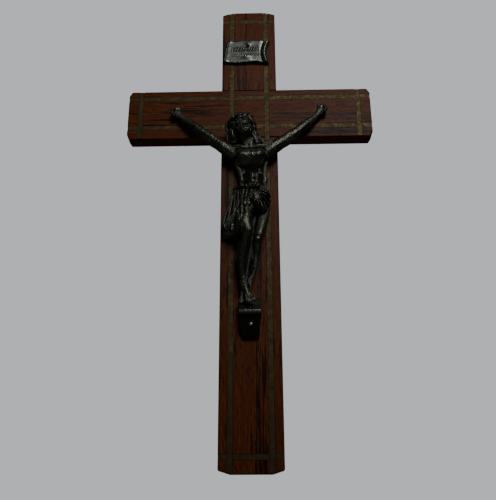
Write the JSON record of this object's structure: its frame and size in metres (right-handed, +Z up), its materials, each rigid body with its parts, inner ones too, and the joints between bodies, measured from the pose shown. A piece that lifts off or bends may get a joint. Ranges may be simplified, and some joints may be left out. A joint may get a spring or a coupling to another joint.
{
  "type": "wall crucifix",
  "caption": "Small wooden wall crucifix of two halved beams with inlaid metal strips, a blank cast scroll and a cast figure on a foot block.",
  "frame": {"origin": "on the flat back, at the centre of the crossing", "axes": "+Z up along the upright, +Y out of the flat back towards the wall, +X to the right of someone looking at the figure"},
  "size_m": [0.1306, 0.025, 0.25],
  "materials": {
    "rosewood": "old satin wax over open pores",
    "strip_metal": "tarnished, dull",
    "scroll_metal": "cast white metal, grey patina",
    "figure_metal": "cast white metal, dark patina, rubbed high spots",
    "nail_metal": "dulled"
  },
  "bodies": {
    "root": {"upright": "rosewood", "crossbeam": "rosewood", "inlay_upright_left": "strip_metal", "inlay_upright_right": "strip_metal", "inlay_arm_left": "strip_metal", "inlay_arm_right": "strip_metal", "inlay_top_1": "strip_metal", "inlay_top_2": "strip_metal", "inlay_top_3": "strip_metal", "inlay_foot_1": "strip_metal", "inlay_foot_2": "strip_metal", "inlay_foot_3": "strip_metal", "inlay_upper_1": "strip_metal", "inlay_upper_2": "strip_metal", "inlay_upper_3": "strip_metal", "inlay_upper_4": "strip_metal", "inlay_upper_5": "strip_metal", "inlay_lower_1": "strip_metal", "inlay_lower_2": "strip_metal", "inlay_lower_3": "strip_metal", "inlay_lower_4": "strip_metal", "inlay_lower_5": "strip_metal", "title_scroll": "scroll_metal", "corpus": "figure_metal", "nail_hand_left": "nail_metal", "nail_hand_right": "nail_metal", "nail_foot_block": "nail_metal", "nail_scroll": "nail_metal"}
  },
  "joints": []
}
